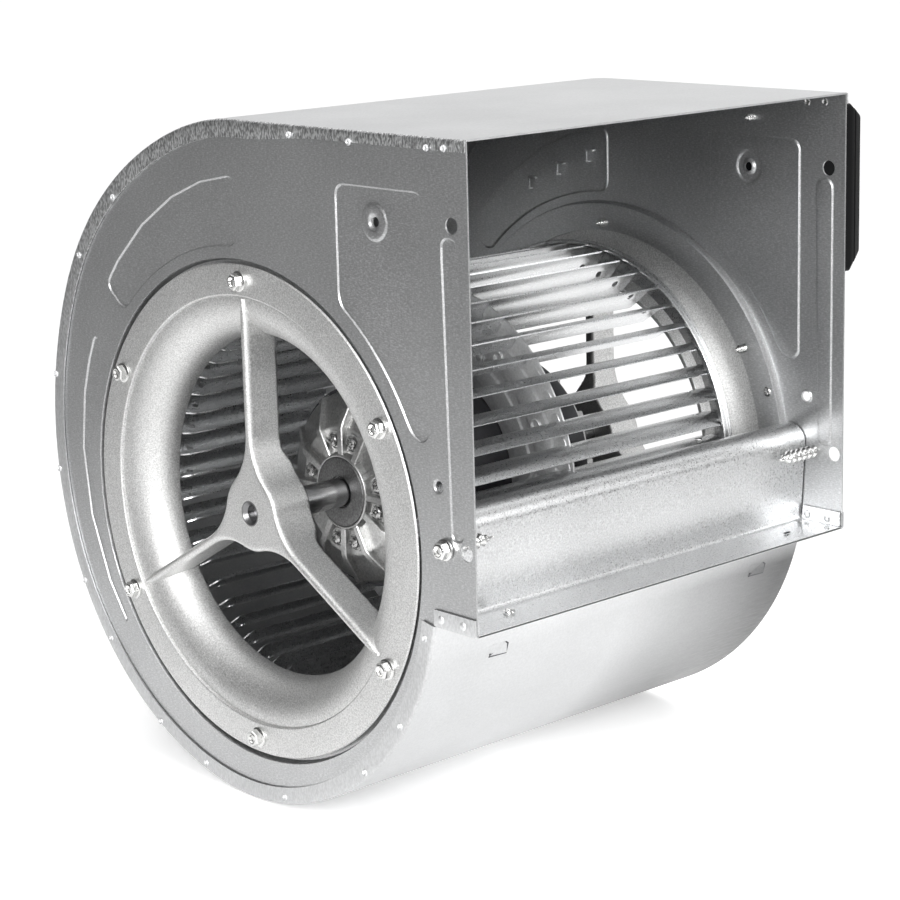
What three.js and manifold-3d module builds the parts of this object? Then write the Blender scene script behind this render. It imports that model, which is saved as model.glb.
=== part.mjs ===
// Double-inlet centrifugal blower with a motor inside its wheel.
// Millimetres. +X is the fan axis, towards the terminal box. The outlet faces -Y, and +Z is up.
// The origin is on the fan axis, midway between the two side plates.

import * as THREE from 'three';
import { mergeVertices } from 'three/addons/utils/BufferGeometryUtils.js';
import Module from 'manifold-3d';

const wasm = await Module();
wasm.setup();

// ---------------------------------------------------------------- driving dimensions

const gap = 0.3; // clearance between pieces that touch
const sheet = 1; // thickness of the casing sheet
const plateFace = 149; // |x| of the outer face of each side plate
const frontY = -187; // outlet edge of the casing
const topZ = 223; // outer face of the flat top
const lipZ = -34.5; // outer face of the lip under the outlet
const flangeWidth = 10; // of the wrap, folded over each side plate
const roundSteps = 32; // facets of the large round pieces
const motorSteps = 24; // facets of the motor's round pieces

// Scroll of the casing: [angle from the outlet side over the top, in degrees, radius].
const scrollStations = [
  [90, 223], [112, 218], [135, 210.5], [157, 199], [180, 190.5], [202, 185],
  [225, 179.5], [247, 175], [270, 171.5], [292, 167], [315, 163.5], [347.5, 159.5],
];

const ring = { outer: 142.7, face: 0, flange: 4.3, step: 124.7, throat: 99.4, depth: 25.5, wall: 3 };
const dish = { rim: 147.5, floor: 145, depth: 4.6, opening: 128 };
const arm = { count: 3, width: 5, tip: 3, depth: 22 };
const hub = { radius: 23, depth: 26, hole: 4.5, mouth: 6.7, shoulder: 6 };
const inletScrew = { count: 6, circle: 133.3, washer: 5.9, head: 4.9, shank: 2.4, length: 15 };

const shaftRadius = 8.5;
const shaftEnd = plateFace - hub.shoulder - gap;
const bearing = { inner: 12.5, race: 16, outer: 20, width: 12, face: 79 };
const stator = { radius: 49.5, half: 40, coil: 58, slotBottom: 24 };
const rotor = { bore: 50, core: 56, shell: 60, half: 64, flange: 86, flangeThickness: 3.4 };
const cap = { disc: 22.5, nose: 82, shoulder: 78, annulus: 40, rim: 70, wall: 4, ribs: 12, rib: 2.4 };
const capScrew = { circle: 30.5, spread: 15, head: 3.3, shank: 1.7, length: 8 };

const blades = { count: 48, inner: 102, outer: 121.4, thickness: 0.9, arc: 15.6, entry: -20, exit: 65 };
const wheel = { end: 123.6, ring: 124.6, ringBore: 111, ringWall: 1.2, band: 7, disc: 113, discHalf: 0.75 };

const tongue = { rollY: -148.5, rollZ: 14, rollRadius: 11, foldY: -156.5, tab: 8.5 };
const fixings = {
  upper: [-175, 179, 4.5],
  lower: [-180.7, 10, 4.5],
  boss: [-115.4, 176, 2.6],
  pin: [-160.1, 42.2, 2.8],
};
const bolt = { y: -165, z: 9.5, washer: 6.5, head: 5.6, shank: 4.2, length: 34 };
const box = { y: -111, z: 162.5, side: 100, depth: 44, lid: 10, taper: 8, wall: 3 };
const boxScrew = { y: -7, z: 43, head: 3.2, shank: 1.9, length: 15 };

// ---------------------------------------------------------------- materials

function metal(color, roughness, metalness) {
  return new THREE.MeshStandardMaterial({ color, roughness, metalness });
}

const galvanised = metal(0xb9bcbd, 0.38, 0.9);
const castAluminium = metal(0xc4c5c4, 0.55, 0.85);
const zincPlate = metal(0xd2d3cf, 0.3, 0.95);
const brightSteel = metal(0x9c9d9e, 0.3, 0.95);
const darkSteel = metal(0x55575a, 0.45, 0.8);
const lamination = metal(0x6d6f72, 0.5, 0.8);
const copper = metal(0xa65f36, 0.45, 0.8);
const blackPlastic = metal(0x17181a, 0.45, 0);
const palePlastic = metal(0xd8d6cc, 0.5, 0);

// ---------------------------------------------------------------- geometry helpers

const radians = THREE.MathUtils.degToRad;

// A point at an angle counted from the outlet side (-Y) over the top.
function polar(angle, radius) {
  return new THREE.Vector2(-radius * Math.cos(radians(angle)), radius * Math.sin(radians(angle)));
}

// A geometry with shared corners, and faces that point out, as a solid.
function solid(geometry) {
  geometry.deleteAttribute('normal');
  geometry.deleteAttribute('uv');
  const merged = mergeVertices(geometry, 1e-4);
  const points = Float32Array.from(merged.attributes.position.array);
  const corners = Uint32Array.from(merged.index.array);
  const used = [];
  let volume = 0;
  const at = (i) => new THREE.Vector3(points[3 * i], points[3 * i + 1], points[3 * i + 2]);
  for (let t = 0; t < corners.length; t += 3) {
    const [a, b, c] = [corners[t], corners[t + 1], corners[t + 2]];
    if (a === b || b === c || c === a) continue;
    used.push(a, b, c);
    volume += at(a).dot(at(b).cross(at(c)));
  }
  if (volume < 0) used.reverse();
  const triVerts = Uint32Array.from(used);
  return new wasm.Manifold(new wasm.Mesh({ numProp: 3, vertProperties: points, triVerts }));
}

function geometryOf(manifold) {
  const { numProp, vertProperties, triVerts } = manifold.getMesh();
  const points = new Float32Array((vertProperties.length / numProp) * 3);
  for (let i = 0; i < points.length / 3; i += 1) {
    for (let k = 0; k < 3; k += 1) points[3 * i + k] = vertProperties[numProp * i + k];
  }
  const geometry = new THREE.BufferGeometry();
  geometry.setAttribute('position', new THREE.BufferAttribute(points, 3));
  geometry.setIndex(new THREE.BufferAttribute(Uint32Array.from(triVerts), 1));
  geometry.computeVertexNormals();
  return geometry;
}

function joined(...solids) {
  return solids.reduce((whole, piece) => whole.add(piece));
}

// A profile of [x, radius] pairs turned about the X axis.
function turned(profile, steps = roundSteps, startAngle = 0) {
  const points = profile.map(([x, radius]) => new THREE.Vector2(radius, x));
  const geometry = new THREE.LatheGeometry(points, steps, radians(startAngle));
  return solid(geometry.rotateZ(-Math.PI / 2));
}

// A ring-shaped profile closes on its first point.
function turnedRing(profile, steps = roundSteps) {
  return turned([...profile, profile[0]], steps);
}

function tube(fromX, toX, inner, outer, steps = roundSteps) {
  return turnedRing([[fromX, inner], [toX, inner], [toX, outer], [fromX, outer]], steps);
}

function rod(fromX, toX, radius, steps = 8) {
  return turned([[fromX, 0], [fromX, radius], [toX, radius], [toX, 0]], steps);
}

// An outline in the Y-Z plane, made thick from one x to another.
function extruded(outline, fromX, toX) {
  const shape = new THREE.Shape(outline);
  const depth = Math.abs(toX - fromX);
  const geometry = new THREE.ExtrudeGeometry(shape, { depth, bevelEnabled: false });
  const axes = new THREE.Matrix4().makeBasis(
    new THREE.Vector3(0, 1, 0), new THREE.Vector3(0, 0, 1), new THREE.Vector3(1, 0, 0),
  );
  return solid(geometry.applyMatrix4(axes).translate(Math.min(fromX, toX), 0, 0));
}

// An outline of [x, radius] pairs standing upright on the axis, made thick across it.
function fin(profile, thickness) {
  const shape = new THREE.Shape(profile.map(([x, radius]) => new THREE.Vector2(x, radius)));
  const geometry = new THREE.ExtrudeGeometry(shape, { depth: thickness, bevelEnabled: false });
  return solid(geometry.translate(0, 0, -thickness / 2).rotateX(Math.PI / 2));
}

// The same open line moved sideways: to the right of its direction when distance is positive.
function offset(line, distance) {
  const normals = [];
  for (let i = 1; i < line.length; i += 1) {
    const along = line[i].clone().sub(line[i - 1]).normalize();
    normals.push(new THREE.Vector2(along.y, -along.x));
  }
  return line.map((point, i) => {
    const before = normals[Math.max(i - 1, 0)];
    const after = normals[Math.min(i, normals.length - 1)];
    const mitre = before.clone().add(after);
    return point.clone().addScaledVector(mitre, (2 * distance) / mitre.lengthSq());
  });
}

// The closed outline of a strip between two offsets of one line.
function strip(line, near, far) {
  return [...offset(line, near), ...offset(line, far).reverse()];
}

function drilled(body, y, z, radius, fromX, toX, steps = 8) {
  return body.subtract(rod(fromX, toX, radius, steps).translate([0, y, z]));
}

const group = new THREE.Group();
group.name = 'blower';

function place(parent, name, body, material) {
  const mesh = new THREE.Mesh(geometryOf(body), material);
  mesh.name = name;
  parent.add(mesh);
  return mesh;
}

const sides = [['left', -1], ['right', 1]];

// ---------------------------------------------------------------- casing outline

function scrollRadius(angle) {
  const next = scrollStations.findIndex(([a]) => a >= angle);
  const i = Math.max(next, 1);
  const [a0, r0] = scrollStations[Math.max(i - 2, 0)];
  const [a1, r1] = scrollStations[i - 1];
  const [a2, r2] = scrollStations[i];
  const [a3, r3] = scrollStations[Math.min(i + 1, scrollStations.length - 1)];
  const t = (angle - a1) / (a2 - a1);
  const rise = (a2 - a1) * (i > 1 ? (r2 - r0) / (a2 - a0) : 0);
  const fall = (a2 - a1) * ((r3 - r1) / (a3 - a1));
  const [t2, t3] = [t * t, t * t * t];
  return r1 * (2 * t3 - 3 * t2 + 1) + rise * (t3 - 2 * t2 + t) + r2 * (3 * t2 - 2 * t3) + fall * (t3 - t2);
}

// Outer face of the wrap: along the top, round the scroll, then forward under the outlet.
function wrapLine() {
  const line = [new THREE.Vector2(frontY, topZ)];
  const scrollEnd = scrollStations.at(-1)[0];
  const steps = 26;
  for (let i = 0; i <= steps; i += 1) {
    const angle = 90 + ((scrollEnd - 90) * i) / steps;
    line.push(polar(angle, scrollRadius(angle)));
  }
  line.at(-1).y = lipZ;
  line.push(new THREE.Vector2(frontY, lipZ));
  return line;
}

const outline = wrapLine();

// ---------------------------------------------------------------- casing

const casing = new THREE.Group();
group.add(casing);

function scrollWrap() {
  const outside = plateFace + gap + sheet;
  const skin = extruded(strip(outline, 0, sheet), -outside, outside);
  const flanges = sides.map(([, side]) => (
    extruded(strip(outline, sheet / 2, flangeWidth), side * (plateFace + gap), side * outside)
  ));
  return joined(skin, ...flanges);
}

function sidePlate(side) {
  const at = (depth) => side * (plateFace - depth);
  const flat = extruded(offset(outline, sheet + gap), at(0), at(sheet));
  const pressed = turnedRing([
    [at(0), dish.rim + 2],
    [at(0), dish.rim],
    [at(dish.depth), dish.floor],
    [at(dish.depth), dish.opening],
    [at(dish.depth + sheet), dish.opening],
    [at(dish.depth + sheet), dish.floor + 1],
    [at(sheet), dish.rim + 1.2],
    [at(sheet), dish.rim + 2],
  ]);
  let plate = flat.subtract(rod(at(-1), at(sheet + 1), dish.rim + 1.5, roundSteps)).add(pressed);
  for (const [y, z, radius] of [...Object.values(fixings), [bolt.y, bolt.z, bolt.shank + gap]]) {
    plate = drilled(plate, y, z, radius, at(-1), at(sheet + 1));
  }
  for (let i = 0; i < inletScrew.count; i += 1) {
    const { x: y, y: z } = polar(90 + (360 / inletScrew.count) * i, inletScrew.circle);
    plate = drilled(plate, y, z, inletScrew.shank + gap, at(dish.depth - 1), at(dish.depth + 2), 6);
  }
  if (side < 0) {
    return plate;
  }
  const [y, z] = [box.y + boxScrew.y, box.z + boxScrew.z];
  return drilled(plate, y, z, boxScrew.shank + gap, at(-1), at(sheet + 1));
}

// Section of the cut-off plate: lip, upright web, then a roll that turns back over the wheel.
function cutoffPlate() {
  const inside = plateFace - sheet - gap;
  const lip = lipZ + sheet + gap;
  const line = [new THREE.Vector2(frontY, lip), new THREE.Vector2(tongue.foldY, lip)];
  for (let turn = 0; turn <= 200; turn += 25) {
    const across = tongue.rollRadius * Math.cos(radians(turn));
    const up = tongue.rollRadius * Math.sin(radians(turn));
    line.push(new THREE.Vector2(tongue.rollY - across, tongue.rollZ + up));
  }
  const web = extruded(strip(line.reverse(), 0, sheet), -inside, inside);
  const tabs = sides.map(([, side]) => {
    const outlineOfTab = [
      new THREE.Vector2(frontY, lip),
      new THREE.Vector2(tongue.foldY - 2, lip),
      new THREE.Vector2(tongue.foldY - 2, lip + tongue.tab),
      new THREE.Vector2(frontY, lip + tongue.tab),
    ];
    return extruded(outlineOfTab, side * inside, side * (inside - sheet));
  });
  const clearance = sides.map(([, side]) => (
    rod(side * (plateFace - dish.depth - sheet - gap), side * plateFace, dish.rim + 2, roundSteps)
  ));
  return clearance.reduce((plate, cutter) => plate.subtract(cutter), joined(web, ...tabs));
}

// Bell mouth as a quarter round from the step in the flange down to the throat.
function bellLine(wallShift) {
  const start = ring.face + 2;
  const reach = ring.step - 0.3 - ring.throat;
  const steps = 4;
  const line = [];
  for (let i = 0; i <= steps; i += 1) {
    const turn = ((Math.PI / 2) * i) / steps;
    const depth = start + (ring.depth - start) * (1 - Math.cos(turn)) + wallShift * Math.cos(turn);
    const radius = ring.throat + reach * (1 - Math.sin(turn)) + wallShift * Math.sin(turn);
    line.push([depth, radius]);
  }
  return line;
}

function spiderOutline() {
  const points = [];
  for (let i = 0; i < arm.count; i += 1) {
    const middle = 90 + (360 / arm.count) * i;
    const edge = (radius, halfWidth) => polar(middle + THREE.MathUtils.radToDeg(halfWidth / radius), radius);
    const flare = [[hub.radius, 10], [32, 5.5], [44, arm.width / 2], [ring.step - 1, arm.tip / 2]];
    for (const [radius, half] of flare) points.push(edge(radius, -half));
    for (const [radius, half] of flare.reverse()) points.push(edge(radius, half));
    points.push(polar(middle + 180 / arm.count, hub.radius - 1.5));
  }
  return points;
}

function inletRing(side) {
  const at = (depth) => side * (plateFace - depth);
  const front = bellLine(0).map(([depth, radius]) => [at(depth), radius]);
  const back = bellLine(ring.wall).map(([depth, radius]) => [at(depth), radius]).reverse();
  const body = turnedRing([
    [at(ring.face), ring.step],
    ...front,
    ...back.slice(0, -1),
    [at(dish.depth - gap), dish.opening - gap - 1],
    [at(dish.depth - gap), ring.outer],
    [at(ring.face), ring.outer],
  ]);
  const middle = bellLine(ring.wall / 2).map(([depth, radius]) => [at(depth), radius]);
  const envelope = turned([
    [at(ring.face), 0],
    [at(ring.face), ring.step - 1],
    ...middle.filter(([x]) => Math.abs(x) > plateFace - arm.depth),
    [at(arm.depth), ring.throat + 1],
    [at(arm.depth), hub.radius + 6],
    [at(hub.depth), hub.radius],
    [at(hub.depth), 0],
  ]);
  const arms = extruded(spiderOutline(), at(ring.face), at(hub.depth)).intersect(envelope);
  const bore = turned([
    [at(0), 0],
    [at(0), hub.mouth + ring.face],
    [at(ring.face), hub.mouth],
    [at(ring.face + 2.2), hub.hole],
    [at(hub.shoulder), hub.hole],
    [at(hub.shoulder), shaftRadius + gap],
    [at(hub.depth + 1), shaftRadius + gap],
    [at(hub.depth + 1), 0],
  ], 16);
  let whole = body.add(arms).subtract(bore);
  for (let i = 0; i < inletScrew.count; i += 1) {
    const { x: y, y: z } = polar(90 + (360 / inletScrew.count) * i, inletScrew.circle);
    whole = drilled(whole, y, z, inletScrew.shank + gap, at(0), at(dish.depth + 1), 6);
  }
  return whole;
}

// Hexagon head with a washer, pointing along -X, with the seat at x = 0.
function hexScrew({ washer, head, shank, length }, headHeight) {
  return turned([
    [-headHeight, 0],
    [-headHeight, head],
    [-1.2, head],
    [-1.2, washer],
    [0, washer],
    [0, shank],
    [length, shank],
    [length, 0],
  ], 6);
}

function panScrew({ head, shank, length }) {
  return turned([[-2.4, 0], [-2.4, head], [0, head], [0, shank], [length, shank], [length, 0]], 6);
}

place(casing, 'scroll_wrap', scrollWrap(), galvanised);
place(casing, 'cutoff_plate', cutoffPlate(), galvanised);
for (const [name, side] of sides) {
  const turnRound = side < 0 ? 0 : Math.PI;
  place(casing, `side_plate_${name}`, sidePlate(side), galvanised);
  place(casing, `inlet_ring_${name}`, inletRing(side), castAluminium);
  for (let i = 0; i < inletScrew.count; i += 1) {
    const screw = place(casing, `inlet_screw_${name}_${i + 1}`, hexScrew(inletScrew, 6), zincPlate);
    const { x: y, y: z } = polar(90 + (360 / inletScrew.count) * i, inletScrew.circle);
    screw.position.set(side * (plateFace - ring.face + gap), y, z);
    screw.rotation.z = turnRound;
  }
  const tongueBolt = place(casing, `cutoff_bolt_${name}`, hexScrew(bolt, 6), zincPlate);
  tongueBolt.position.set(side * (plateFace + gap), bolt.y, bolt.z);
  tongueBolt.rotation.z = turnRound;
}

// ---------------------------------------------------------------- motor parts that stand still

place(casing, 'motor_shaft', rod(-shaftEnd, shaftEnd, shaftRadius, 16), brightSteel);
const statorCore = tube(-stator.half, stator.half, shaftRadius + gap, stator.radius, motorSteps);
place(casing, 'stator_core', statorCore, lamination);
for (const [name, side] of sides) {
  const near = side * (stator.half + gap);
  const winding = tube(near, side * stator.coil, stator.slotBottom, stator.radius - 4, motorSteps);
  place(casing, `stator_winding_${name}`, winding, copper);
  const face = side * bearing.face;
  const innerRace = tube(face, face - side * bearing.width, shaftRadius + gap, bearing.inner, 16);
  place(casing, `bearing_inner_race_${name}`, innerRace, brightSteel);
}

// ---------------------------------------------------------------- terminal box

const boxBack = plateFace + gap + sheet + gap;

function squareTube(halfOuter, halfInner, fromX, toX) {
  const square = (half) => [[-half, -half], [half, -half], [half, half], [-half, half]]
    .map(([y, z]) => new THREE.Vector2(y, z));
  const hollow = halfInner > 0 ? extruded(square(halfInner), fromX - 1, toX + 1) : null;
  const outer = extruded(square(halfOuter), fromX, toX);
  return hollow ? outer.subtract(hollow) : outer;
}

function boxBase() {
  const half = box.side / 2;
  const wall = squareTube(half, half - box.wall, 0, box.depth);
  const hollow = wall.add(squareTube(half - 1, 0, 0, box.wall));
  return drilled(hollow, boxScrew.y, boxScrew.z, boxScrew.shank + gap, -1, box.wall + 1);
}

// The lid narrows towards its flat front.
function boxLid() {
  const half = box.side / 2;
  const geometry = new THREE.CylinderGeometry(
    (half - box.taper) * Math.SQRT2, half * Math.SQRT2, box.lid, 4, 1, false, Math.PI / 4,
  );
  return solid(geometry.rotateZ(-Math.PI / 2).translate(box.lid / 2, 0, 0));
}

const terminalBox = new THREE.Group();
terminalBox.position.set(boxBack, box.y, box.z);
casing.add(terminalBox);
const glandZ = -box.side / 2;
const glandHole = rod(-6, 6, 8, 12).rotate([0, 90, 0]).translate([box.depth / 2, 0, glandZ]);
place(terminalBox, 'terminal_box_base', boxBase().subtract(glandHole), blackPlastic);
const lidScrewHoles = [-1, 1].map((end) => (
  rod(-1, box.lid + 1, 2.3).translate([0, end * 30, end * 30])
));
const lid = lidScrewHoles.reduce((body, hole) => body.subtract(hole), boxLid());
place(terminalBox, 'terminal_box_lid', lid, blackPlastic).position.x = box.depth + gap;
place(terminalBox, 'terminal_block', extruded([
  new THREE.Vector2(-24, -9),
  new THREE.Vector2(24, -9),
  new THREE.Vector2(24, 9),
  new THREE.Vector2(-24, 9),
], box.wall + gap, box.wall + 14), palePlastic);
[-1, 1].forEach((end, i) => {
  const screwBody = joined(rod(box.lid, box.lid + 2.5, 4), rod(-12, box.lid + 1, 2));
  const screw = place(terminalBox, `box_lid_screw_${i + 1}`, screwBody, zincPlate);
  screw.position.set(box.depth + 2 * gap, end * 30, end * 30);
});
const boxScrewBody = joined(
  rod(box.wall + gap, box.wall + gap + 2.4, boxScrew.head),
  rod(box.wall + 1 - boxScrew.length, box.wall + 1, boxScrew.shank),
);
place(terminalBox, 'box_fixing_screw', boxScrewBody, zincPlate).position.set(0, boxScrew.y, boxScrew.z);
const glandBody = joined(rod(-16, 9, 7.6, 12), rod(-8, -2.3, 11, 6), rod(3.3, 7, 10, 6));
const glandBore = rod(-17, 10, 4, 12);
const gland = place(terminalBox, 'cable_gland', glandBody.subtract(glandBore), blackPlastic);
gland.position.set(box.depth / 2, 0, glandZ + 2);
gland.rotation.y = -Math.PI / 2;

// ---------------------------------------------------------------- wheel and rotor

const spinning = new THREE.Group();
group.add(spinning);

// End cap of the rotor: nose round the bearing, flat annulus for the screws, cone and ribs.
function rotorCap(side) {
  const at = (x) => side * x;
  const seat = bearing.face - bearing.width;
  const skirt = rotor.shell - 2;
  const body = turnedRing([
    [at(cap.nose), shaftRadius + 1],
    [at(cap.nose), cap.disc],
    [at(cap.shoulder), cap.disc],
    [at(cap.shoulder), cap.annulus],
    [at(cap.rim), skirt],
    [at(rotor.half), skirt],
    [at(rotor.half), skirt - cap.wall],
    [at(cap.shoulder - cap.wall), cap.annulus - 1],
    [at(cap.shoulder - cap.wall), bearing.outer + cap.wall],
    [at(seat), bearing.outer + cap.wall],
    [at(seat), bearing.outer + gap],
    [at(bearing.face + gap), bearing.outer + gap],
    [at(bearing.face + gap), shaftRadius + 1],
  ], motorSteps);
  const rib = fin([
    [at(cap.shoulder - 1), cap.disc - 1],
    [at(cap.nose - 1.5), cap.disc - 1],
    [at(cap.nose - 1.5), cap.annulus],
    [at(cap.rim + 1.5), skirt - 1],
    [at(cap.rim - 1), skirt - 1],
    [at(cap.shoulder - 1), cap.annulus],
  ], cap.rib);
  const ribs = [];
  for (let i = 0; i < cap.ribs; i += 1) ribs.push(rib.rotate([(360 / cap.ribs) * i, 0, 0]));
  return capScrewAngles().reduce((part, angle) => {
    const { x: y, y: z } = polar(angle, capScrew.circle);
    return drilled(part, y, z, capScrew.shank + gap, at(cap.shoulder - 6), at(cap.shoulder + 2), 6);
  }, joined(body, ...ribs));
}

// Screws stand in four pairs, one each side of the ribs at the quarters.
function capScrewAngles() {
  return [0, 90, 180, 270].flatMap((quarter) => [quarter - capScrew.spread, quarter + capScrew.spread]);
}

// Section of one forward-curved blade: its outer edge leans towards the outlet over the top.
function bladeOutline() {
  const steps = 2;
  const face = (shift) => {
    const points = [];
    for (let i = 0; i <= steps; i += 1) {
      const lean = radians(blades.entry + ((blades.exit - blades.entry) * i) / steps);
      const start = radians(blades.entry);
      const rise = Math.sin(lean) - Math.sin(start);
      const radial = blades.inner + blades.arc * rise + shift * Math.sin(lean);
      const forward = blades.arc * (Math.cos(start) - Math.cos(lean)) - shift * Math.cos(lean);
      points.push(new THREE.Vector2(-forward, radial));
    }
    return points;
  };
  return [...face(0), ...face(blades.thickness).reverse()];
}

// The blades run from one end band to the other, and are notched where they pass over the centre disc.
function bladeStrip() {
  const end = wheel.end - wheel.ringWall - gap;
  const section = bladeOutline();
  const notch = wheel.discHalf + gap;
  const copies = [];
  for (let i = 0; i < blades.count; i += 1) {
    const blade = extruded(section, 0.2 - end, end - 0.2);
    copies.push(blade.rotate([(360 / blades.count) * i, 0, 0]));
  }
  const slot = tube(-notch, notch, blades.inner - 5, wheel.disc + 2 * gap, blades.count);
  const bands = [-1, 1].map((side) => (
    tube(side * end, side * (end - 4), blades.outer - 1.6, blades.outer, blades.count)
  ));
  return joined(wasm.Manifold.union(copies).subtract(slot), ...bands);
}

function wheelRing(side) {
  const at = (x) => side * x;
  return turnedRing([
    [at(wheel.end), wheel.ringBore],
    [at(wheel.end), wheel.ring],
    [at(wheel.end - wheel.band), wheel.ring],
    [at(wheel.end - wheel.band), wheel.ring - wheel.ringWall],
    [at(wheel.end - wheel.ringWall), wheel.ring - wheel.ringWall],
    [at(wheel.end - wheel.ringWall), wheel.ringBore],
  ]);
}

const rotorCore = tube(-stator.half, stator.half, rotor.bore, rotor.core, motorSteps);
const rotorDrum = tube(-rotor.half + gap, rotor.half - gap, rotor.core + gap, rotor.shell, motorSteps);
const flangeFrom = wheel.discHalf + gap;
const flangeTo = flangeFrom + rotor.flangeThickness;
const rotorFlange = tube(flangeFrom, flangeTo, rotor.shell + gap, rotor.flange, motorSteps);
const centreDisc = tube(-wheel.discHalf, wheel.discHalf, rotor.shell + gap, wheel.disc);
place(spinning, 'rotor_core', rotorCore, lamination);
place(spinning, 'rotor_shell', rotorDrum, darkSteel);
place(spinning, 'rotor_flange', rotorFlange, darkSteel);
place(spinning, 'centre_disc', centreDisc, galvanised);
place(spinning, 'blade_strip', bladeStrip(), galvanised);
for (const [name, side] of sides) {
  const face = side * bearing.face;
  const outerRace = tube(face, face - side * bearing.width, bearing.race, bearing.outer, 16);
  place(spinning, `bearing_outer_race_${name}`, outerRace, brightSteel);
  place(spinning, `rotor_cap_${name}`, rotorCap(side), castAluminium);
  place(spinning, `wheel_ring_${name}`, wheelRing(side), galvanised);
  capScrewAngles().forEach((angle, i) => {
    const screw = place(spinning, `cap_screw_${name}_${i + 1}`, panScrew(capScrew), zincPlate);
    const { x: y, y: z } = polar(angle, capScrew.circle);
    screw.position.set(side * (cap.shoulder + gap), y, z);
    screw.rotation.z = side < 0 ? 0 : Math.PI;
  });
}

export default group;
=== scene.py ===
"""Looks of a double inlet centrifugal blower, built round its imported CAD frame.

Shapes are made in millimetres and become meshes in metres. +X is the fan axis, towards the
terminal box, the outlet faces -Y and +Z is up. What both sides have is shaped for the left
side, whose outer face looks along -X, and mirrored for the right side. An angle counts from
the outlet side (-Y) over the top.
"""

import math

import bmesh
import bpy
from mathutils import Matrix, Vector, noise
from mathutils.geometry import delaunay_2d_cdt


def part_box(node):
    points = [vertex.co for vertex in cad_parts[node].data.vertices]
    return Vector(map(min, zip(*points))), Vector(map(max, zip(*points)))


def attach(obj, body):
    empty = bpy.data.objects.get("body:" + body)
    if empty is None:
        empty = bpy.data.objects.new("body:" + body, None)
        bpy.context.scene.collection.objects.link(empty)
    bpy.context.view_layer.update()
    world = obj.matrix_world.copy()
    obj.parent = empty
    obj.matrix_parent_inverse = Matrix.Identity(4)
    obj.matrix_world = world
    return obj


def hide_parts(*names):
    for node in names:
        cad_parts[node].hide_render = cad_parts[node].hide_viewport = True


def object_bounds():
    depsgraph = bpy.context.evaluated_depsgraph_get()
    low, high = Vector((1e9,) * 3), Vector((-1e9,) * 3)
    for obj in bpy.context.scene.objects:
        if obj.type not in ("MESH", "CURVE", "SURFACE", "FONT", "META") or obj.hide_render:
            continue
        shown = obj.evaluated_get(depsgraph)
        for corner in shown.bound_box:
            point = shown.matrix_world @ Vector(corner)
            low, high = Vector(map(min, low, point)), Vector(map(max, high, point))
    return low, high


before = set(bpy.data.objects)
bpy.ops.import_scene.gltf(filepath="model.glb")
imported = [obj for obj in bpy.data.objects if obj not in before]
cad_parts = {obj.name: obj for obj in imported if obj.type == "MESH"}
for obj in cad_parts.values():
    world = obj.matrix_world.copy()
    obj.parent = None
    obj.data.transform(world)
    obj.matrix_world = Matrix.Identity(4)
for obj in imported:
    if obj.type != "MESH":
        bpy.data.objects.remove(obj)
cad_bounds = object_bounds()

MM = 0.001
SIDES = ("left", "right")


# ---------------------------------------------------------------- sizes, in millimetres

def box_mm(node):
    """Lowest and highest corner of a CAD node."""
    low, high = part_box(node)
    return low / MM, high / MM


SHEET = 1.0
GAP = 0.3
RIM = box_mm("scroll_wrap")[1].x
FRONT = box_mm("scroll_wrap")[0].y
TOP = box_mm("scroll_wrap")[1].z
REAR = box_mm("scroll_wrap")[1].y
BOTTOM = box_mm("scroll_wrap")[0].z
PLATE = -box_mm("side_plate_left")[0].x
LIP = -34.5
SCROLL = (
    (90, 223), (112, 218), (135, 210.5), (157, 199), (180, 190.5), (202, 185),
    (225, 179.5), (247, 175), (270, 171.5), (292, 167), (315, 163.5), (347.5, 159.5),
)
SCROLL_END = SCROLL[-1][0]

DISH_RIM, DISH_FLOOR, DISH_DEPTH, OPENING = 145.0, 144.4, 4.6, 128.0
RING_OUTER, RING_STEP, THROAT, BELL_DEPTH = 142.7, 124.7, 99.4, 25.5
RING_FACE = PLATE + box_mm("inlet_ring_left")[0].x
SCREW_CIRCLE = 133.3
HUB_DEPTH = 26.0
ARM_ANGLES = (90, 210, 330)

BLADES = 48
RIVET_CIRCLE = 81.5
BLADE_WIDTH = 23.1
BLADE_INNER, BLADE_CURVE, BLADE_ENTRY, BLADE_EXIT, BLADE_SHEET = 102.0, 15.6, -20.0, 65.0, 0.9
WHEEL_END = box_mm("wheel_ring_left")[0].x
WHEEL_OUTER = box_mm("wheel_ring_left")[1].z
NOSE = box_mm("rotor_cap_left")[0].x
SHAFT = box_mm("motor_shaft")[1].z
BOLT_Y, BOLT_Z = -165.0, 9.5


# ---------------------------------------------------------------- shapes

def polar(angle, radius):
    turn = math.radians(angle)
    return -radius * math.cos(turn), radius * math.sin(turn)


def smooth(low, high, value):
    t = min(max((value - low) / (high - low), 0), 1)
    return t * t * (3 - 2 * t)


class Shape:
    """Points and faces, gathered before they become one mesh."""

    def __init__(self, points=(), faces=()):
        self.points = [tuple(p) for p in points]
        self.faces = [tuple(f) for f in faces]

    def add(self, other):
        start = len(self.points)
        self.points += other.points
        self.faces += [tuple(start + i for i in face) for face in other.faces]
        return self

    def placed(self, matrix):
        points = [matrix @ Vector(p) for p in self.points]
        flip = matrix.determinant() < 0
        return Shape(points, [f[::-1] if flip else f for f in self.faces])

    def moved(self, x, y, z):
        return self.placed(Matrix.Translation((x, y, z)))

    def turned(self, degrees, axis="X"):
        return self.placed(Matrix.Rotation(math.radians(degrees), 4, axis))

    def on(self, side):
        """The shape as it is on the left side, or its mirror on the right side."""
        return self if side == "left" else self.placed(Matrix.Scale(-1, 4, (1, 0, 0)))


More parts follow.
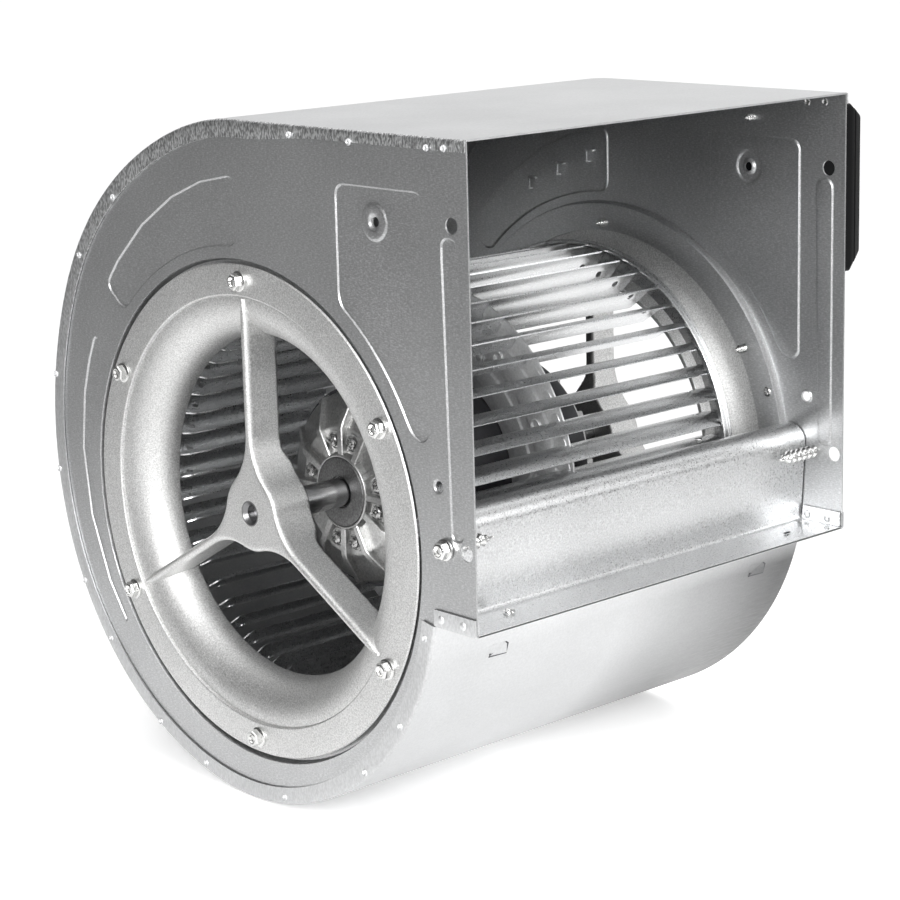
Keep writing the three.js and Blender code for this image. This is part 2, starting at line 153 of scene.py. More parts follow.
def lathe(profile, steps=96):
    """A closed profile of (x, radius) points turned about the fan axis."""
    shape = Shape()
    rows = []
    for x, radius in profile:
        start = len(shape.points)
        count = steps if radius > 1e-6 else 1
        for k in range(count):
            y, z = polar(360 * k / steps, radius)
            shape.points.append((x, y, z))
        rows.append([start + k % count for k in range(steps)])
    for a, b in zip(rows, rows[1:] + rows[:1]):
        for k in range(steps):
            m = (k + 1) % steps
            corners = tuple(dict.fromkeys((a[k], b[k], b[m], a[m])))
            if len(corners) > 2:
                shape.faces.append(corners)
    return shape


def loft(rings):
    """A skin over closed rings of points, capped at both ends."""
    n = len(rings[0])
    shape = Shape([p for ring in rings for p in ring])
    for a in range(len(rings) - 1):
        for i in range(n):
            j = (i + 1) % n
            shape.faces.append((a * n + i, a * n + j, (a + 1) * n + j, (a + 1) * n + i))
    last = (len(rings) - 1) * n
    shape.faces.append(tuple(range(n))[::-1])
    shape.faces.append(tuple(last + i for i in range(n)))
    return shape


def bend(start, corner, end, steps):
    """A curve from start to end that bends towards a corner."""
    ts = [k / steps for k in range(steps + 1)]
    return [tuple(start * (1 - t) ** 2 + corner * 2 * t * (1 - t) + end * t * t) for t in ts]


def rounded(points, cut, steps=4, closed=True):
    """An outline with its corners rounded, each cut back by the same length where there is room."""
    points = [Vector(p) for p in points]
    n = len(points)
    result = []
    for i, point in enumerate(points):
        if not closed and i in (0, n - 1):
            result.append(tuple(point))
            continue
        before = points[i - 1] - point
        after = points[(i + 1) % n] - point
        reach = min(cut, before.length * 0.45, after.length * 0.45)
        start = point + before.normalized() * reach
        result += bend(start, point, point + after.normalized() * reach, steps)
    return result


def offset_line(line, distance, closed=False):
    """A line of (y, z) points moved to the right of its direction."""
    points = [Vector(p) for p in line]
    n = len(points)
    legs = [points[(i + 1) % n] - points[i] for i in range(n)]
    normals = [Vector((leg.y, -leg.x)).normalized() for leg in legs]
    result = []
    for i, point in enumerate(points):
        first = normals[i - 1] if closed or i > 0 else normals[0]
        second = normals[i] if closed or i < n - 1 else normals[i - 1]
        mitre = first + second
        result.append(tuple(point + mitre * (2 * distance / max(mitre.length_squared, 0.5))))
    return result


def prism(outline, low_x, high_x, edge=0.0):
    """A (y, z) outline made thick along X, with a small chamfer where edge is given."""
    levels = [(low_x, 0), (high_x, 0)]
    if edge:
        levels = [(low_x, edge), (low_x + edge, 0), (high_x - edge, 0), (high_x, edge)]
    area = sum(a[0] * b[1] - b[0] * a[1] for a, b in zip(outline, outline[1:] + outline[:1]))
    inward = -1 if area > 0 else 1
    return loft([
        [(x, y, z) for y, z in offset_line(outline, inward * inset, closed=True)]
        for x, inset in levels
    ])


def circle(y, z, radius, steps=24):
    return [(y + a, z + b) for a, b in (polar(360 * k / steps, radius) for k in range(steps))]


MARK_STEPS = 20


def button(radius, height):
    """A rivet head or pressed mark that stands out along -X from x = 0."""
    profile = [(0.6, radius), (0, radius), (-height * 0.55, radius * 0.86), (-height * 0.9, radius * 0.5)]
    return lathe([(0.6, 0)] + profile + [(-height, 0)], MARK_STEPS)


def dished(radius, height):
    """A clinch mark: a low rim round a sunk middle."""
    return lathe([
        (0.4, 0), (0.4, radius), (-height * 0.4, radius * 0.98), (-height, radius * 0.8),
        (-height * 0.8, radius * 0.62), (-height * 0.15, radius * 0.42), (0, 0),
    ], MARK_STEPS)


RING_ANGLES = [15 * k for k in range(24)]


def star_ring(x, radius, lobes=1, pinch=1):
    """A round ring in the Y-Z plane, or one whose radius waves down to radius * pinch."""
    waves = [0.5 + 0.5 * math.cos(math.radians(angle * lobes)) for angle in RING_ANGLES]
    radii = [radius * (pinch + (1 - pinch) * wave) for wave in waves]
    return [(x, *polar(angle, r)) for angle, r in zip(RING_ANGLES, radii)]


def round_rings(*pairs):
    return [star_ring(x, radius) for x, radius in pairs]


def hexagon_ring(x, radius):
    flat = radius * math.cos(math.pi / 6)
    return [(x, *polar(a, flat / math.cos(math.radians(a % 60 - 30)))) for a in RING_ANGLES]


def thread(radius, root, start, length, pitch, tip):
    """A screw thread along +X, cut as one helix, with a pointed end."""
    steps = 16
    rings = []
    count = int(length / pitch * 8)
    for i in range(count + 1):
        along = length * i / count
        taper = 1 - smooth(length - tip, length, along)
        ring = []
        for k in range(steps):
            phase = (along / pitch + k / steps) % 1
            crest = max(0, 1 - abs(phase - 0.5) * 3.2)
            reach = (root + (radius - root) * crest) * (0.18 + 0.82 * taper)
            ring.append((start + along, *polar(360 * k / steps, reach)))
        rings.append(ring)
    return loft(rings)


# ---------------------------------------------------------------- materials

class Graph:
    """A node tree in the making. An input takes a constant or another node's output."""

    def __init__(self, tree):
        self.nodes, self.links = tree.nodes, tree.links
        self.coords = self.node("TexCoord").outputs

    def node(self, kind, inputs=(), **settings):
        made = self.nodes.new("ShaderNode" + kind)
        for name, value in settings.items():
            setattr(made, name, value)
        self.feed(made, inputs)
        return made

    def feed(self, node, inputs):
        for key, value in dict(inputs).items():
            if isinstance(value, bpy.types.NodeSocket):
                self.links.new(value, node.inputs[key])
            else:
                node.inputs[key].default_value = value

    def noise(self, scale, detail=3.0, stretch=(1, 1, 1)):
        """Noise over the object's own coordinates; scale is in cells per metre."""
        scales = [scale * s for s in stretch]
        mapping = self.node("Mapping", {"Vector": self.coords["Object"], "Scale": scales})
        inputs = {"Vector": mapping.outputs["Vector"], "Scale": 1.0, "Detail": detail}
        return self.node("TexNoise", inputs).outputs["Fac"]

    def ramp(self, value, low, high, start=0.3, end=0.7):
        """A colour that goes from low at start to high at end."""
        node = self.node("ValToRGB", {"Fac": value})
        for element, position, tone in zip(node.color_ramp.elements, (start, end), (low, high)):
            element.position = position
            element.color = (*tone, 1)
        return node.outputs["Color"]

    def range(self, value, low, high, start=0.3, end=0.7):
        """A number that goes from low at start to high at end."""
        inputs = {"Value": value, "From Min": start, "From Max": end, "To Min": low, "To Max": high}
        return self.node("MapRange", inputs).outputs["Result"]

    def mix(self, first, second, kind="MULTIPLY", amount=1.0):
        """Two colours mixed; the Mix node keeps its colour sockets at 6 and 7 and its result at 2."""
        inputs = {"Factor": amount, 6: first, 7: second}
        return self.node("Mix", inputs, data_type="RGBA", blend_type=kind).outputs[2]

    def bump(self, height, strength, distance, normal=None):
        inputs = {"Height": height, "Strength": strength, "Distance": distance}
        if normal:
            inputs["Normal"] = normal
        return self.node("Bump", inputs).outputs["Normal"]

    def math(self, operation, *values):
        return self.node("Math", dict(enumerate(values)), operation=operation).outputs["Value"]

    def measure(self, operation, vector, other=(0, 0, 0)):
        """One number from vectors: their dot product or distance, or the length of one."""
        return self.node("VectorMath", {0: vector, 1: other}, operation=operation).outputs["Value"]

    def split(self, output="Object"):
        """X, Y and Z of a coordinate."""
        return self.node("SeparateXYZ", {"Vector": self.coords[output]}).outputs


def new_material(name):
    mat = bpy.data.materials.new(name)
    mat.use_nodes = True
    return mat, Graph(mat.node_tree), mat.node_tree.nodes["Principled BSDF"]


def grey(level):
    return (level,) * 3


def metal(name, tone, roughness, spread, grain, relief,
          metallic=1.0, streak=None, depth=0.2, contrast=0.1, rim=False, core=False):
    """A metal with a fine grain, streaks along one way, a broken rim with painted shade on the lower wrap,
    and painted shade on the inner core of arms and hubs.
    """
    mat, graph, shader = new_material(name)
    source = graph.noise(grain, detail=2.0)
    dark = [c * (1 - contrast) for c in tone]
    light = [min(c * (1 + contrast), 1) for c in tone]
    patches = graph.ramp(graph.noise(14), grey(0.9), grey(1))
    color = graph.mix(graph.ramp(source, dark, light), patches)
    normal = graph.bump(source, relief, 0.0002)
    if streak:
        source = graph.noise(1000, detail=2.0, stretch=streak)
        color = graph.mix(color, graph.ramp(source, grey(1 - depth), grey(1), 0.45, 0.68))
        normal = graph.bump(source, relief, 0.00012, normal)
    if rim:
        # painted shade on the wrap below the outlet, then broken zinc on the folded rims
        color, normal = rim_crystals(graph, paint_low_wrap_shade(graph, color), normal)
    if core:
        # painted shade on the inner faces of arms and hubs
        color = paint_core_shade(graph, color)
    graph.feed(shader, {
        "Base Color": color, "Metallic": metallic, "Normal": normal,
        "Roughness": graph.range(source, roughness - spread, roughness + spread),
    })
    return mat


def paint_low_wrap_shade(graph, color):
    """Painted shade: the wrap below the outlet is darkened in its colour, most of all at its far end, in
    place of the dark reflections there.
    """
    parts = graph.split()
    shade = graph.ramp(parts["X"], grey(0.82), grey(0.15), 0, 0.14)
    return graph.mix(color, shade, amount=graph.range(parts["Z"], 1, 0, -0.06, -0.03))


def rim_crystals(graph, color, normal):
    """Broken zinc on the folded rims, which stand out at the ends of the X axis."""
    parts = graph.split()
    across = graph.math("ABSOLUTE", parts["X"])
    on_rim = graph.range(across, 0, 1, (RIM - 1.7) * MM, (RIM - 1.4) * MM)
    amount = graph.math("MULTIPLY", on_rim, graph.range(parts["Z"], 0.15, 1, 0.05, 0.20))
    crystals = graph.noise(1000, stretch=(1.0, 0.95, 0.38))
    broken = graph.mix(color, graph.ramp(crystals, grey(0.55), grey(1.5), 0.40, 0.60))
    return graph.mix(color, broken, "MIX", amount), graph.bump(crystals, amount, 0.0005, normal)


def paint_core_shade(graph, color):
    """Painted shade: arms and hubs, within the throat, are darkened in their colour on their faces that look
    into the casing.
    """
    outward = graph.math("MULTIPLY", graph.split()["X"], graph.split("Normal")["X"])
    inputs = {0: graph.coords["Object"], 1: (0, 1, 1)}
    across = graph.node("VectorMath", inputs, operation="MULTIPLY").outputs["Vector"]
    core = graph.range(graph.measure("LENGTH", across), 1, 0, 0.090, 0.098)
    amount = graph.math("MULTIPLY", graph.range(outward, 1, 0, -0.05, 0), core)
    return graph.mix(color, graph.ramp(amount, grey(1), grey(0.28), 0, 1))


def plastic(name, tone, roughness, grain, gloss=0.4):
    mat, graph, shader = new_material(name)
    fine = graph.noise(grain)
    graph.feed(shader, {
        "Base Color": graph.ramp(fine, [c * 0.8 for c in tone], [c * 1.2 for c in tone]),
        "Roughness": graph.range(fine, roughness - 0.06, roughness + 0.06),
        "Normal": graph.bump(fine, 0.25, 0.0002), "Specular IOR Level": gloss,
    })
    return mat


def winding():
    """Varnished copper wires laid side by side round the shaft."""
    mat, graph, shader = new_material("copper_winding")
    inputs = {"Vector": graph.coords["Object"], "Scale": 320, "Distortion": 3.0}
    wires = graph.node("TexWave", inputs, wave_type="RINGS", rings_direction="X").outputs["Fac"]
    graph.feed(shader, {
        "Base Color": graph.ramp(wires, (0.20, 0.07, 0.03), (0.62, 0.28, 0.12)),
        "Normal": graph.bump(wires, 0.7, 0.0004), "Metallic": 0.7, "Roughness": 0.35,
    })
    return mat


MATERIALS = {
    "plate": metal("galvanised_plate", (0.62, 0.625, 0.63), 0.39, 0.08, 900, 0.25, metallic=0.95,
                   streak=(2.0, 0.45, 1.8), depth=0.24),
    # The wrap's colour holds painted shade below the outlet.
    "wrap": metal("galvanised_wrap", (0.70, 0.705, 0.71), 0.40, 0.05, 800, 0.08,
                  streak=(0.12, 0.9, 0.9), depth=0.04, contrast=0.05, rim=True),
    "disc": metal("galvanised_disc", (0.78, 0.785, 0.79), 0.48, 0.06, 800, 0.2, metallic=0.75),
    "web": metal("galvanised_web", (0.70, 0.705, 0.71), 0.33, 0.08, 1000, 0.35, contrast=0.2),
    "blade": metal("galvanised_blade", (0.70, 0.705, 0.71), 0.30, 0.05, 1100, 0.06, contrast=0.06),
    # Cast aluminium with painted shade on the inner faces of the arms and hubs.
    "cast": metal("cast_aluminium", (0.70, 0.70, 0.695), 0.50, 0.08, 1250, 0.7, contrast=0.26,
                  core=True),
    "cap": metal("cast_cap", (0.54, 0.54, 0.535), 0.38, 0.06, 800, 0.5, contrast=0.2),
    "nose": metal("cast_nose", (0.20, 0.20, 0.20), 0.50, 0.06, 900, 0.5, contrast=0.35),
    "zinc": metal("zinc_plate", (0.74, 0.74, 0.73), 0.20, 0.05, 1500, 0.12),
    "steel": metal("ground_steel", (0.46, 0.46, 0.465), 0.20, 0.03, 1600, 0.02, contrast=0.03),
    # A dark steel tone for the hub bush: painted shade inside the bore.
    "shadow_steel": metal("painted_shade_steel", (0.24, 0.24, 0.245), 0.35, 0.05, 900, 0.1),
    "screw": metal("dull_zinc", (0.50, 0.50, 0.495), 0.28, 0.06, 1200, 0.15),
    "black_steel": metal("black_steel", (0.055, 0.055, 0.06), 0.42, 0.06, 700, 0.3, metallic=0.4),
    "laminations": metal("laminations", (0.30, 0.30, 0.31), 0.45, 0.06, 500, 0.6,
                         streak=(2.0, 0.05, 0.05)),
    "copper": winding(),
    "black": plastic("black_plastic", (0.007, 0.007, 0.0075), 0.5, 1300, gloss=0.04),
    "pale": plastic("pale_plastic", (0.70, 0.68, 0.62), 0.4, 900),
}


def mesh_of(name, points, faces, scale=MM):
    mesh = bpy.data.meshes.new(name)
    mesh.from_pydata([[c * scale for c in p] for p in points], [], faces)
    return mesh


def linked(name, data):
    """A new object in the scene."""
    obj = bpy.data.objects.new(name, data)
    bpy.context.scene.collection.objects.link(obj)
    return obj


def piece(name, shape, look, body="casing", replaces=(), sharp=38):
    """One visible piece, made of a shape, riding on a CAD body."""
    mesh = mesh_of(name, shape.points, shape.faces)
    edit = bmesh.new()
    edit.from_mesh(mesh)
    bmesh.ops.recalc_face_normals(edit, faces=edit.faces)
    edit.to_mesh(mesh)
    edit.free()
    mesh.shade_smooth()
    mesh.set_sharp_from_angle(angle=math.radians(sharp))
    mesh.materials.append(MATERIALS[look])
    obj = linked(name, mesh)
    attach(obj, body)
    if replaces:
        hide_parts(*replaces)
    return obj


# ---------------------------------------------------------------- scroll wrap

def scroll_radius(angle):
    i = next((k for k, (a, _) in enumerate(SCROLL) if a >= angle), len(SCROLL) - 1)
    i = max(i, 1)
    (a0, r0), (a1, r1), (a2, r2) = SCROLL[max(i - 2, 0)], SCROLL[i - 1], SCROLL[i]
    a3, r3 = SCROLL[min(i + 1, len(SCROLL) - 1)]
    t = (angle - a1) / (a2 - a1)
    rise = (a2 - a1) * ((r2 - r0) / (a2 - a0) if i > 1 else 0)
    fall = (a2 - a1) * (r3 - r1) / (a3 - a1)
    return (r1 * (2 * t ** 3 - 3 * t ** 2 + 1) + rise * (t ** 3 - 2 * t ** 2 + t)
            + r2 * (3 * t ** 2 - 2 * t ** 3) + fall * (t ** 3 - t ** 2))


def scroll_line(fine=True):
    """Outer face of the wrap, from the outlet's top edge to the fold under the outlet."""
    line = [(y, TOP) for y in (FRONT, FRONT + 40, FRONT + 80)]
    y = -70.0
    while y < -1 and fine:
        line.append((y, TOP))
        y += 1.5
    angle = 90.0
    while angle < SCROLL_END:
        line.append(polar(angle, scroll_radius(angle)))
        angle += 0.5 if fine and angle < 125 else 2.5
    line.append((polar(SCROLL_END, SCROLL[-1][1])[0], LIP))
    return line


OUTLINE = scroll_line(fine=False)
FOLD = OUTLINE[-1]


def wrap_section(flange, lift):
    """The sheet from one folded rim to the other, as a closed ring of (x, inward) pairs."""
    fold = 1.8
    arc = [(-RIM + fold * (1 - math.cos(a)), fold * (1 - math.sin(a)))
           for a in (math.radians(22.5 * k) for k in range(5))]
    inner = [(-RIM + SHEET + 0.8 * (1 - math.cos(a)), SHEET + 0.8 * (1 - math.sin(a)))
             for a in (math.radians(45 * k) for k in range(3))]
    left = [(-RIM + lift, flange), (-RIM + lift * 0.6, flange * 0.6)] + arc
    under = [(-RIM + SHEET + lift, flange), (-RIM + SHEET + lift * 0.6, flange * 0.6)] + inner
    right = [(-x, d) for x, d in reversed(left)]
    return left + right + [(-x, d) for x, d in under] + under[::-1]


def wrap_loft(line, flange_of, lift_of):
    normals = [Vector(a) - Vector(b) for a, b in zip(offset_line(line, 1), line)]
    rings = []
    for point, normal in zip(line, normals):
        section = wrap_section(flange_of(point), lift_of(point))
        ring = [(x, point[0] + normal.x * d, point[1] + normal.y * d) for x, d in section]
        rings.append([(x, min(y, REAR), max(z, BOTTOM)) for x, y, z in ring])
    return loft(rings)


def rim_width(point):
    return 6.5 + 3.5 * smooth(-75, -10, point[0]) if point[1] > 0 else 10


def crinkle(point):
    """The folded rim is gathered where the scroll is tightest, over the top."""
    y, z = point
    strength = smooth(-66, -50, y) * (1 - smooth(88, 125, y)) * (1 if z > 0 else 0)
    return 0.75 * strength * abs(noise.noise(Vector((y * 0.42, z * 0.42, 3.0))))


CLINCHES = (
    (124, 205), (139, 202), (163, 193), (181, 187), (203, 181), (216, 175), (237, 173),
    (252.5, 168), (278, 164), (306, 160), (322.5, 157), (344, 152),
)
TOP_CLINCHES = ((-50, 217.6), (-99, 216.8), (-159, 217.5), (-172, 218))


def on_wrap(x, z, height):
    """A point that stands a height off the wrap's face below the outlet."""
    return x, -wrap_front(z) - height, z


def hook(x, z):
    """A lanced hook on the lower wrap: a flap that lifts towards its lower far corner."""
    corners = ((0, 0, 0.04), (11.2, 0, 0.04), (12.8, -1.4, 0.7), (13, -6.6, 1.9), (0, -6.6, 0.04))
    return loft([[on_wrap(x + a, z + b, d - drop) for a, b, d in corners] for drop in (0.9, 0)])


def hook_slot_shade(x, z):
    """A black sheet in the slot that the hook leaves open below and beside it: painted shade where the
    opening is.
    """
    corners = ((1.5, -5.4), (11.4, -5.4), (11.4, -0.8), (12.6, -0.2), (14.6, -1.4), (14.9, -8.0),
               (1.5, -7.6))
    return loft([[on_wrap(x + a, z + b, d) for a, b in corners] for d in (-0.3, 0.3)])


def wrap_front(z):
    """How far the wrap's face below the outlet stands forward at a height."""
    lower = OUTLINE[len(OUTLINE) // 2:]
    for (near, top), (far, bottom) in zip(lower, lower[1:]):
        if (top - z) * (bottom - z) <= 0:
            return -near - (far - near) * (z - top) / (bottom - top)
    return -FOLD[0]


def build_wrap():
    body = wrap_loft(scroll_line(), rim_width, crinkle)
    lip = [(y, LIP) for y in (FOLD[0] + 0.3, FOLD[0] - 0.6, FRONT + 1, FRONT)]
    body.add(wrap_loft(lip, lambda _: 10, lambda _: 0))
    piece("wrap_sheet", body, "wrap", replaces=["scroll_wrap"])
    for side in SIDES:
        marks = Shape()
        for angle, radius in CLINCHES:
            marks.add(dished(2.0, 0.7).moved(-RIM, *polar(angle, radius + 1.5)))
        for y, z in TOP_CLINCHES:
            marks.add(dished(1.9, 0.7).moved(-RIM, y, z))
        for y, z in ((-161, -29.3), (-177.8, -29.3)):
            marks.add(button(2.4, 1.0).moved(-RIM, y, z))
        piece(f"wrap_clinches_{side}", marks.on(side), "disc")
    hooks, slot_shades = Shape(), Shape()
    for x in (-106, 108):
        hooks.add(hook(x, -56))
        slot_shades.add(hook_slot_shade(x, -56))
    piece("wrap_hooks", hooks, "wrap", sharp=20)
    # The hook slots are black sheets: painted shade in the openings.
    piece("wrap_hook_slot_shades", slot_shades, "black_steel", sharp=20)


# ---------------------------------------------------------------- side plates

def arc_points(first, last, radius, steps):
    return [polar(first + (last - first) * k / steps, radius) for k in range(steps + 1)]


def panels():
    """Outlines of the pressed areas of a side plate."""
    front = [(-153.5, 194), (-85, 194)] + arc_points(56.8, 28, 155, 12) + [(-142.5, 64), (-153.5, 64)]
    radii = ((90.6, 192), (100, 189), (109, 185.5), (120, 181), (131, 177), (137.5, 175))
    upper = [polar(a, r) for a, r in radii] + arc_points(137, 90.8, 152.6, 14)
    radii = ((149, 168), (155, 167), (163, 166), (175, 164), (190, 161), (205, 158), (216, 156))
    back = [polar(a, r) for a, r in radii] + arc_points(213, 150, 152.4, 16)
    bead = [(-178, 172.3), (-166.5, 172.3), (-169.5, 15), (-178, 15)]
    return [
        round_some(front, 7), round_some(upper, 7), round_some(back, 5), rounded(bead, 5.5),
    ]


def round_some(points, cut):
    """Rounds the true corners of an outline and leaves its smooth stretches."""
    points = [Vector(p) for p in points]
    n = len(points)
    result = []
    for i, point in enumerate(points):
        before = points[i - 1] - point
        after = points[(i + 1) % n] - point
        if before.angle(after) > math.radians(155):
            result.append(tuple(point))
            continue
        start = point + before.normalized() * min(cut, before.length * 0.9)
        end = point + after.normalized() * min(cut, after.length * 0.9)
        result += bend(start, point, end, 5)
    return result


PANELS = panels()
PANEL_DEPTH = 1.1
EDGE = 0.6  # half the width of a panel's sloping edge
GRID = 17.0  # distance between the triangles' corners on the plain sheet
BOSS = (-115.4, 176)
PIN_HOLE = (-160, 42.2)
HOLES = ((-175, 179, 4.5), (-180.7, 10, 4.5), (*BOSS, 2.6), (*PIN_HOLE, 2.8))
TABS = ((68.7, 152.7), (42.8, 163.6), (16.7, 173.7))


def inside(point, outline):
    y, z = point
    result = False
    for (y0, z0), (y1, z1) in zip(outline, outline[1:] + outline[:1]):
        if (z0 > z) != (z1 > z) and y < (y1 - y0) * (z - z0) / (z1 - z0) + y0:
            result = not result
    return result


def signed_distance(point, outline):
    """Distance to an outline, negative inside."""
    y, z = point
    nearest = 1e9
    for (y0, z0), (y1, z1) in zip(outline, outline[1:] + outline[:1]):
        dy, dz = y1 - y0, z1 - z0
        t = min(max(((y - y0) * dy + (z - z0) * dz) / (dy * dy + dz * dz + 1e-12), 0), 1)
        nearest = min(nearest, math.hypot(y - y0 - t * dy, z - z0 - t * dz))
    return -nearest if inside(point, outline) else nearest


PANEL_BOXES = [[(min(axis) - 3, max(axis) + 3) for axis in zip(*outline)] for outline in PANELS]


def plate_depth(y, z):
    """How far the plate's outer face is pressed in at a point."""
    radius = math.hypot(y, z)
    depth = DISH_DEPTH * (1 - smooth(DISH_FLOOR, DISH_RIM + 0.6, radius))
    for outline, ((y0, y1), (z0, z1)) in zip(PANELS, PANEL_BOXES):
        if y0 < y < y1 and z0 < z < z1:
            depth += PANEL_DEPTH * (1 - smooth(-EDGE, EDGE, signed_distance((y, z), outline)))
    from_boss = math.hypot(y - BOSS[0], z - BOSS[1])
    depth -= PANEL_DEPTH * (1 - smooth(8.6, 10.8, from_boss))
    depth += 1.6 * (1 - smooth(2.8, 5.2, from_boss))
    depth += 1.0 * (1 - smooth(2.8, 4.1, math.hypot(y - PIN_HOLE[0], z - PIN_HOLE[1])))
    return depth


def plate_rails(boundary):
    """Lines that the plate's triangles follow: its edges, and the slopes of what is pressed in it."""
    rails = [boundary]
    for outline in PANELS:
        rails += [offset_line(outline, d, closed=True) for d in (-EDGE, -EDGE / 2, 0, EDGE / 2, EDGE)]
    for radius in (OPENING, 142.0, 144.3, 144.7, 145.0, 145.3, 145.7, 146.2):
        rails.append(arc_points(0, 357.5, radius, 143))
    for radius in (2.6, 3.4, 4.2, 5.2, 8.6, 9.4, 10.1, 10.8):
        rails.append(circle(*BOSS, radius))
    for radius in (2.8, 3.2, 3.7, 4.2):
        rails.append(circle(*PIN_HOLE, radius))
    rails += [circle(y, z, radius) for y, z, radius in HOLES[:2]]
    return rails


def triangulated(rails, lines, keep):
    """Triangles that follow closed rails and open lines, where their centres pass a test."""
    points, edges = [], []
    for line, closed in [(rail, 1) for rail in rails] + [(line, 0) for line in lines]:
        start, count = len(points), len(line)
        points += [Vector(p) for p in line]
        edges += [(start + i, start + (i + 1) % count) for i in range(count - 1 + closed)]
    flat, _, faces, *_ = delaunay_2d_cdt(points, edges, [], 0, 1e-4)
    kept = [face for face in faces if keep(sum((flat[i] for i in face), Vector((0, 0))) / len(face))]
    used = sorted({i for face in kept for i in face})
    number = {old: new for new, old in enumerate(used)}
    return [flat[i] for i in used], [tuple(number[i] for i in face) for face in kept]


def steps_between(values, spacing):
    """Evenly spaced values between the lowest and the highest of some others."""
    found, value = [], min(values) + spacing
    while value < max(values):
        found.append(value)
        value += spacing
    return found


def build_side_plate(side):
    boundary = offset_line(scroll_line(fine=False) + [(FRONT, LIP)], SHEET + GAP)

    def keep(centre):
        if centre.length < OPENING or not inside(centre, boundary):
            return False
        return all(math.hypot(centre.x - y, centre.y - z) > radius for y, z, radius in HOLES)

    ys, zs = (steps_between(axis, GRID) for axis in zip(*(Vector(p) for p in boundary)))
    grid = [[(y, z)] for y in ys for z in zs]
    flat, faces = triangulated(plate_rails(boundary), grid, keep)
    front = [(-PLATE + plate_depth(p.x, p.y), p.x, p.y) for p in flat]
    obj = piece(f"side_sheet_{side}", Shape(front, faces).on(side), "plate",
                replaces=[f"side_plate_{side}"], sharp=60)
    outward = -1 if side == "left" else 1
    if obj.data.polygons[0].normal.x * outward < 0:
        obj.data.flip_normals()
    thick = obj.modifiers.new("thickness", "SOLIDIFY")
    thick.thickness = SHEET * MM
    thick.offset = -1
    edges = obj.modifiers.new("cut_edges", "EDGE_SPLIT")
    edges.split_angle = math.radians(64)
    even = obj.modifiers.new("even_shading", "WEIGHTED_NORMAL")
    even.keep_sharp = True


def raised(outline, low, high):
    """An (x, y) outline made thick from a low to a high z."""
    return loft([[(x, y, z) for x, y in outline] for z in (low, high)])


def build_plate_tabs():
    """Small hoods pressed out of the right plate towards the inside, each open to the front."""
    base = PLATE - PANEL_DEPTH - SHEET
    hood = raised([(0.3, 4.4), (-3.6, 0.2), (-3.6, -0.6), (0.3, -0.6)], -3.8, 3.4)
    hood.add(raised([(0.3, 4.4), (-3.9, 0.4), (-2.4, -4.6), (0.3, -4.6)], 3.2, 4.2))
    hollow = raised([(0.3, 3.0), (-2.6, -0.1), (-2.6, -0.7), (0.3, -0.7)], -3.0, 3.1)
    for i, (y, z) in enumerate(TABS):
        obj = piece(f"plate_tab_{i + 1}", hood.moved(base, y, z), "web", sharp=30)
        cut_by(obj, hollow.moved(base, y, z))


def build_plate_rivets():
    """Rivets in the dish and clinched points near the outlet's top edge, seen from inside."""
    for side in SIDES:
        marks = Shape()
        marks.add(button(3.0, 0.9).on("right").moved(-(PLATE - DISH_DEPTH - SHEET), -133, 42))
        for y, z in TOP_CLINCHES[2:]:
            marks.add(dished(2.4, 0.8).on("right").moved(-(PLATE - SHEET), y, z - 1))
        piece(f"plate_rivets_{side}", marks.on(side), "screw")


# ---------------------------------------------------------------- inlet rings

def at(depth):
    """X of a depth behind the left plate's outer face."""
    return -PLATE + depth


def bell_line(wall, first=0.0):
    """Front of the bell mouth, or its back at a wall's thickness, as (depth, radius) pairs."""
    steps = 14
    start, reach = RING_FACE + 2, RING_STEP - 0.4 - THROAT
    line = []
    for k in range(steps + 1):
        turn = math.radians(first + (90 - first) * k / steps)
        depth = start + (BELL_DEPTH - start) * (1 - math.cos(turn)) + wall * math.cos(turn)
        line.append((depth, THROAT + reach * (1 - math.sin(turn)) + wall * math.sin(turn)))
    return line


def ring_profile():
    edge = (RING_FACE, RING_OUTER - 0.7)
    front = [(RING_FACE + 1.5, RING_OUTER - 0.4), (RING_FACE + 0.9, RING_OUTER), edge]
    step = [edge, (RING_FACE, RING_STEP), (RING_FACE + 2, RING_STEP - 0.4)]
    front += rounded(step, 1.3, closed=False)[1:]
    back = bell_line(3.2, first=12)[::-1]
    tail = [(DISH_DEPTH - GAP, OPENING - 1), (DISH_DEPTH - GAP, RING_OUTER - 3.6)]
    lip = rounded([bell_line(0)[-2], (BELL_DEPTH, THROAT), back[0], back[1]], 0.9, closed=False)
    return [(at(d), r) for d, r in front + bell_line(0)[1:-2] + lip + back[2:] + tail]


def arm_half_width(radius):
    """Half the width of an arm, which widens into the round hub with a fillet."""
    hub, fillet, arm = 22.6, 40.0, 2.75
    meet = math.sqrt((hub + fillet) ** 2 - (arm + fillet) ** 2)
    edge = hub * meet / (hub + fillet)
    if radius >= meet:
        return arm
    if radius >= edge:
        return arm + fillet - math.sqrt(fillet ** 2 - (meet - radius) ** 2)
    return math.sqrt(hub ** 2 - min(radius, edge) ** 2)


def bell_depth_at(radius):
    reach = (RING_STEP - 0.4 - radius) / (RING_STEP - 0.4 - THROAT)
    if reach >= 1:
        return BELL_DEPTH
    return RING_FACE + 2 + (BELL_DEPTH - RING_FACE - 2) * (1 - math.sqrt(max(1 - reach * reach, 0)))


